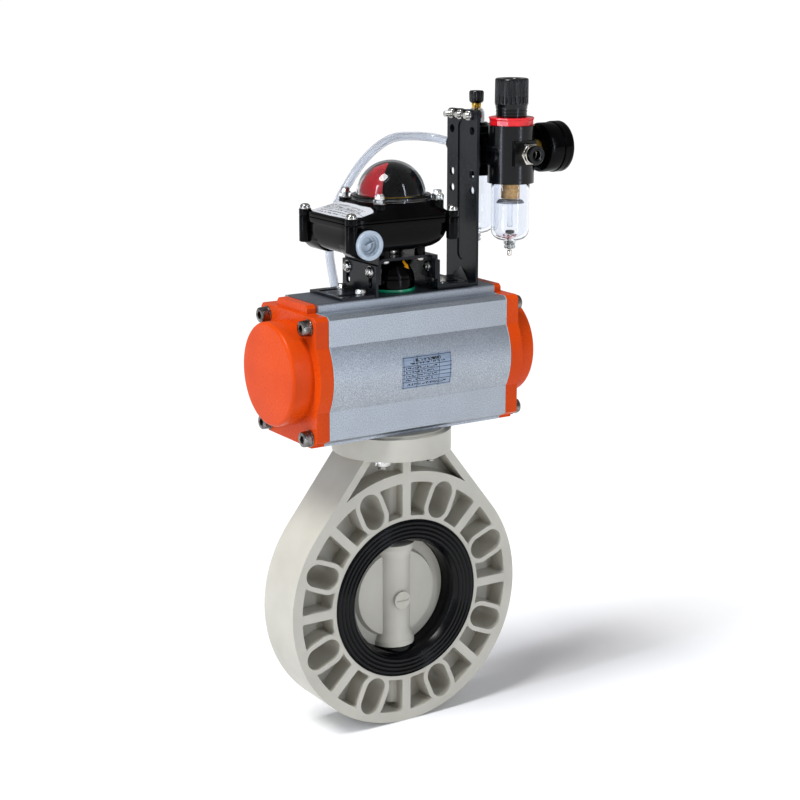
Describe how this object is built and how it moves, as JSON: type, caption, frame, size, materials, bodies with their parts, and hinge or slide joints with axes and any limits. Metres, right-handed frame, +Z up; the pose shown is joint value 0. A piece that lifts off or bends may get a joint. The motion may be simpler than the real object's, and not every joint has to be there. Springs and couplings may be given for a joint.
{
  "type": "butterfly valve",
  "caption": "Wafer butterfly valve with a plastic body and disc, rubber seat, rack-and-pinion air actuator, position switch box and air filter-regulator-lubricator.",
  "frame": {"origin": "centre of the pipe bore, midway between the two flange faces, on the stem's axis", "axes": "+X along the actuator, +Y along the pipe, +Z up the stem towards the actuator"},
  "size_m": [0.278, 0.1675, 0.5603],
  "materials": {
    "beige_plastic": "satin moulded",
    "black_rubber": "satin",
    "stainless": "bright",
    "bush_plastic": "satin",
    "anodised": "bead blasted",
    "orange_paint": "gloss powder coat",
    "gasket": "satin",
    "plate_foil": "satin printed",
    "piston_alloy": "machined",
    "gear_steel": "machined",
    "black_plastic": "satin",
    "yellow_paint": "satin",
    "green_plastic": "gloss",
    "black_paint": "satin powder coat",
    "cam_plastic": "satin",
    "red_plastic": "gloss",
    "yellow_plastic": "gloss",
    "clear_plastic": "clear",
    "smoke_plastic": "translucent",
    "bronze": "sintered"
  },
  "bodies": {
    "frame": {"valve_body": "beige_plastic", "seat_liner": "black_rubber", "shaft_bushes": "bush_plastic", "stem_seals": "black_rubber", "pad_bolts": "stainless", "actuator_body": "anodised", "end_cap_left": "orange_paint", "end_cap_right": "orange_paint", "cap_gaskets": "gasket", "cap_screws": "stainless", "nameplate": "plate_foil", "foot_left": "black_paint", "foot_right": "black_paint", "bridge_bracket": "black_paint", "bracket_screws": "stainless", "switch_base": "black_paint", "switch_cover": "black_paint", "box_screws": "stainless", "micro_switches": "black_plastic", "indicator_mask": "black_plastic", "indicator_dome": "clear_plastic", "conduit_plugs": "smoke_plastic", "air_bracket": "black_paint", "module_clamp": "black_paint", "clamp_bolts": "stainless", "regulator_body": "black_paint", "lock_ring": "red_plastic", "filter_bowl": "clear_plastic", "filter_element": "bronze", "gauge_case": "black_paint", "gauge_lens": "clear_plastic", "lubricator_body": "black_paint", "oil_bowl": "clear_plastic", "sight_dome": "clear_plastic", "air_fittings": "stainless", "air_tube": "clear_plastic", "pilot_valve": "anodised", "pilot_coil": "black_plastic"},
    "stem_group": {"disc": "beige_plastic", "disc_plug": "beige_plastic", "stem": "stainless", "pinion": "gear_steel", "indicator_puck": "black_plastic", "puck_arrow": "yellow_paint", "puck_ring": "green_plastic", "switch_shaft": "stainless", "switch_cams": "cam_plastic", "indicator_red": "red_plastic", "indicator_yellow": "yellow_plastic"},
    "piston_left": {"piston_left": "piston_alloy", "piston_seal_left": "black_rubber"},
    "piston_right": {"piston_right": "piston_alloy", "piston_seal_right": "black_rubber"},
    "regulator_spindle": {"regulator_spindle": "stainless"},
    "regulator_knob": {"regulator_knob": "black_plastic"},
    "oil_knob": {"oil_knob": "black_plastic"},
    "drain_pin": {"drain_pin": "stainless"},
    "gauge_pointer": {"gauge_pointer": "red_plastic"},
    "inlet_collar": {"inlet_collar": "black_plastic"},
    "override_button": {"override_button": "yellow_plastic"}
  },
  "joints": [
    {"name": "stem_turn", "type": "hinge", "parent": "frame", "child": "stem_group", "pos_m": [0, 0, 0], "axis": [0, 0, 1], "range_deg": [0, 90]},
    {"name": "piston_left_slide", "type": "slide", "parent": "frame", "child": "piston_left", "axis": [-1, 0, 0], "range_m": [0, 0.0252]},
    {"name": "piston_right_slide", "type": "slide", "parent": "frame", "child": "piston_right", "axis": [1, 0, 0], "range_m": [0, 0.0252]},
    {"name": "regulator_turn", "type": "hinge", "parent": "frame", "child": "regulator_spindle", "pos_m": [0.105, -0.026, 0.43], "axis": [0, 0, 1], "range_deg": [0, 720]},
    {"name": "regulator_knob_lift", "type": "slide", "parent": "regulator_spindle", "child": "regulator_knob", "axis": [0, 0, 1], "range_m": [0, 0.003]},
    {"name": "oil_knob_turn", "type": "hinge", "parent": "frame", "child": "oil_knob", "pos_m": [0.105, 0.026, 0.43], "axis": [0, 0, 1], "range_deg": [0, 360]},
    {"name": "drain_pin_push", "type": "slide", "parent": "frame", "child": "drain_pin", "axis": [0, 0, 1], "range_m": [0, 0.003], "stiffness_N_per_m": 400, "springref_m": -0.002},
    {"name": "gauge_pointer_turn", "type": "hinge", "parent": "frame", "child": "gauge_pointer", "pos_m": [0.15, -0.026, 0.3857], "axis": [-1, 0, 0], "range_deg": [0, 270], "stiffness_Nm_per_rad": 0.0005, "springref_deg": -28.65},
    {"name": "inlet_collar_push", "type": "slide", "parent": "frame", "child": "inlet_collar", "axis": [0, 1, 0], "range_m": [0, 0.0015], "stiffness_N_per_m": 500, "springref_m": -0.001},
    {"name": "override_button_push", "type": "slide", "parent": "frame", "child": "override_button", "axis": [1, 0, 0], "range_m": [0, 0.002], "stiffness_N_per_m": 500, "springref_m": -0.001}
  ],
  "couplings": [
    {"joint": "piston_left_slide", "follows": "stem_turn", "m_per_rad": 0.016},
    {"joint": "piston_right_slide", "follows": "stem_turn", "m_per_rad": 0.016}
  ]
}
